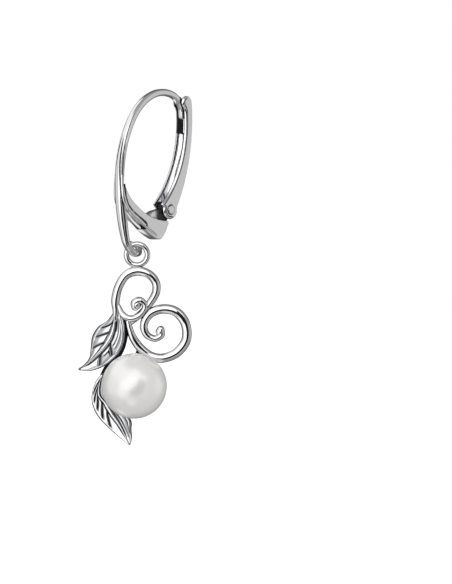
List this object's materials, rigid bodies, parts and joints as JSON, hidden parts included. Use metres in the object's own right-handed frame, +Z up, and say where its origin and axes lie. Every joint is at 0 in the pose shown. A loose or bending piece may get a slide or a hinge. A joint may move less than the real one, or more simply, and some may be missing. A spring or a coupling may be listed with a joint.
{
  "type": "pearl drop earring",
  "caption": "Leverback earring: looped ear hook with a hinged back lever, and a hanging drop of scroll wires, leaves and a round pearl.",
  "frame": {"origin": "Underside of the top of the ear wire's arch, in the middle plane of the hook, where the hook rests in the ear.", "axes": "+X across the hook along the lever's hinge, towards the side seen in the picture; +Y from the front stem to the lever at the back; +Z up."},
  "size_m": [0.0095, 0.013, 0.0377],
  "materials": {
    "polished_silver": "cast silver, polished bright",
    "oxidised_silver": "cast silver, polished on the ridges and blackened in the recesses",
    "pearl": "white pearl with a soft satin lustre"
  },
  "bodies": {
    "hook": {"ear_hook": "polished_silver", "hinge_rivet": "polished_silver"},
    "lever": {"clasp_lever": "polished_silver"},
    "drop": {"drop_frame": "oxidised_silver", "pearl": "pearl"}
  },
  "joints": [
    {"name": "lever_hinge", "type": "hinge", "parent": "hook", "child": "lever", "pos_m": [0, 0.00045, -0.01205], "axis": [-1, 0, 0], "range_deg": [0, 70]},
    {"name": "drop_swing", "type": "hinge", "parent": "hook", "child": "drop", "pos_m": [0.00016, -0.00462, -0.0166], "axis": [0.6428, -0.766, 0], "range_deg": [-60, 60]}
  ]
}
